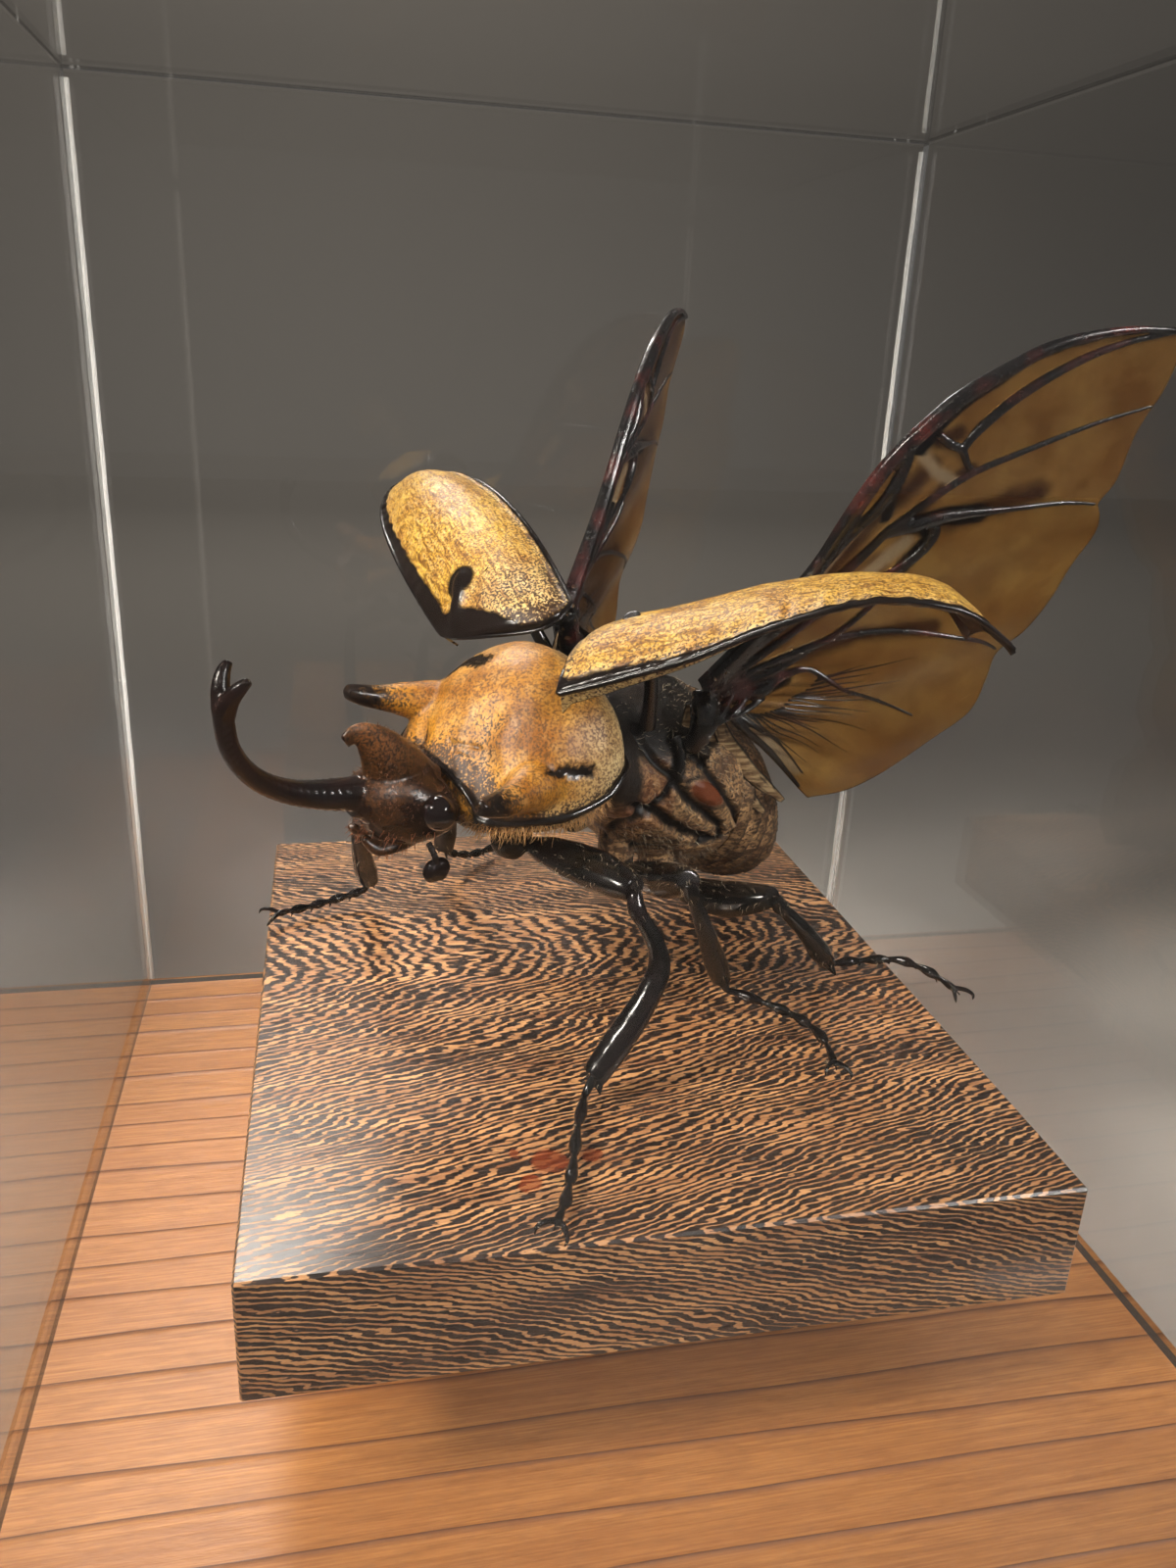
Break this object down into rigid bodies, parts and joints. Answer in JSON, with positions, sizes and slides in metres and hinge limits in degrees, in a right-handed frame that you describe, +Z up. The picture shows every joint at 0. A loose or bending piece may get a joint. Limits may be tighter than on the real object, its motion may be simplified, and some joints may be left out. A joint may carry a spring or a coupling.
{
  "type": "horned beetle mounted in flight in a clear box",
  "caption": "Horned beetle specimen with raised wing cases and spread wings on a striped wood block, in a clear box cover on a wooden board.",
  "frame": {"origin": "centre of the base board's underside", "axes": "+Z up, +Y to the back of the case, +X to the right seen from the front; the insect's head points to the front left"},
  "size_m": [0.16, 0.16, 0.1886],
  "materials": {
    "clear_acrylic": "clear polished sheet",
    "board_wood": "oiled, brushed grain",
    "block_wood": "polished, dark with tan stripes",
    "golden_down": "short velvety down over a hard shell",
    "black_shell": "glossy hard shell",
    "brown_head_shell": "glossy hard shell",
    "tan_downy_plates": "dull downy plates",
    "amber_wing_film": "thin translucent film with dark veins"
  },
  "bodies": {
    "root": {"base_board": "board_wood", "plinth": "board_wood", "block": "block_wood", "cover_front": "clear_acrylic", "cover_back": "clear_acrylic", "cover_left": "clear_acrylic", "cover_right": "clear_acrylic", "cover_top": "clear_acrylic", "pronotum": "golden_down", "head": "brown_head_shell", "antenna_left": "brown_head_shell", "antenna_right": "brown_head_shell", "thorax": "tan_downy_plates", "abdomen": "tan_downy_plates", "elytron_left": "golden_down", "elytron_right": "golden_down", "hind_wing_left": "amber_wing_film", "hind_wing_right": "amber_wing_film", "femur_front_left": "black_shell", "femur_front_right": "black_shell", "femur_mid_left": "black_shell", "femur_mid_right": "black_shell", "femur_hind_left": "black_shell", "femur_hind_right": "black_shell", "tibia_front_left": "black_shell", "tibia_front_right": "black_shell", "tibia_mid_left": "black_shell", "tibia_mid_right": "black_shell", "tibia_hind_left": "black_shell", "tibia_hind_right": "black_shell", "tarsus_front_left": "black_shell", "tarsus_front_right": "black_shell", "tarsus_mid_left": "black_shell", "tarsus_mid_right": "black_shell", "tarsus_hind_left": "black_shell", "tarsus_hind_right": "black_shell"}
  },
  "joints": []
}
